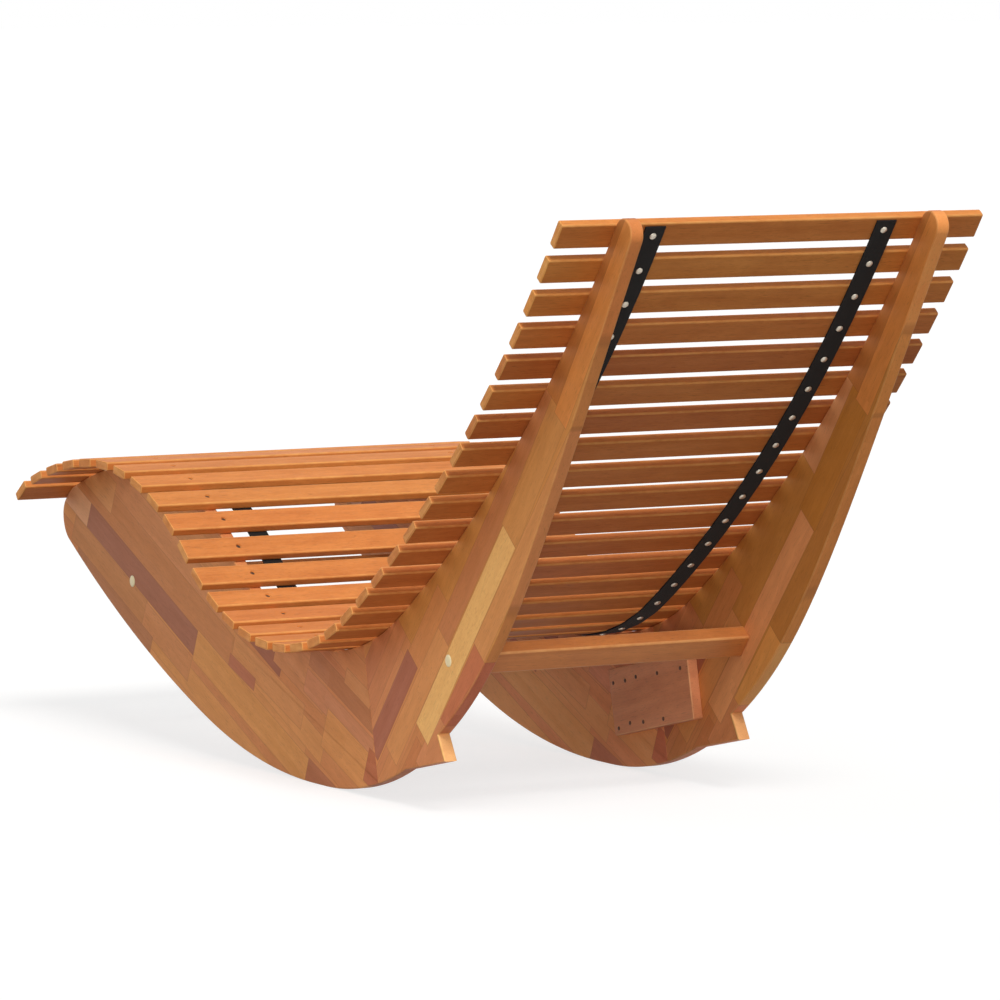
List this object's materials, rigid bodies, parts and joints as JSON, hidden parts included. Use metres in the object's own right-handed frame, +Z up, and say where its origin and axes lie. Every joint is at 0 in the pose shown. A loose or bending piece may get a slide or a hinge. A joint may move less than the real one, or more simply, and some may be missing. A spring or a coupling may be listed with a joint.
{
  "type": "rocking chaise lounge",
  "caption": "Rocking chaise lounge: an S-shaped lounging seat of narrow wooden slats on two side frames with rocker undersides, joined by stretchers.",
  "frame": {"origin": "on the floor, at the centre of the chair's length and width", "axes": "+Z up, +Y towards the head end, +X towards the sitter's left"},
  "size_m": [0.6, 1.5874, 0.7756],
  "materials": {
    "slat_wood": "satin",
    "frame_wood": "satin",
    "cap_wood": "satin",
    "webbing": "matte",
    "hardware_steel": "satin"
  },
  "bodies": {
    "root": {"slat_01": "slat_wood", "slat_02": "slat_wood", "slat_03": "slat_wood", "slat_04": "slat_wood", "slat_05": "slat_wood", "slat_06": "slat_wood", "slat_07": "slat_wood", "slat_08": "slat_wood", "slat_09": "slat_wood", "slat_10": "slat_wood", "slat_11": "slat_wood", "slat_12": "slat_wood", "slat_13": "slat_wood", "slat_14": "slat_wood", "slat_15": "slat_wood", "slat_16": "slat_wood", "slat_17": "slat_wood", "slat_18": "slat_wood", "slat_19": "slat_wood", "slat_20": "slat_wood", "slat_21": "slat_wood", "slat_22": "slat_wood", "slat_23": "slat_wood", "slat_24": "slat_wood", "slat_25": "slat_wood", "slat_26": "slat_wood", "slat_27": "slat_wood", "slat_28": "slat_wood", "slat_29": "slat_wood", "slat_30": "slat_wood", "slat_31": "slat_wood", "slat_32": "slat_wood", "slat_33": "slat_wood", "slat_34": "slat_wood", "slat_35": "slat_wood", "front_stretcher": "frame_wood", "rear_stretcher": "frame_wood", "left_front_board": "frame_wood", "left_rear_board": "frame_wood", "left_gusset": "frame_wood", "left_strap": "webbing", "left_front_bolt": "hardware_steel", "left_front_barrel_nut": "hardware_steel", "left_front_cap": "cap_wood", "left_rear_bolt": "hardware_steel", "left_rear_barrel_nut": "hardware_steel", "left_rear_cap": "cap_wood", "right_front_board": "frame_wood", "right_rear_board": "frame_wood", "right_gusset": "frame_wood", "right_strap": "webbing", "right_front_bolt": "hardware_steel", "right_front_barrel_nut": "hardware_steel", "right_front_cap": "cap_wood", "right_rear_bolt": "hardware_steel", "right_rear_barrel_nut": "hardware_steel", "right_rear_cap": "cap_wood"}
  },
  "joints": []
}
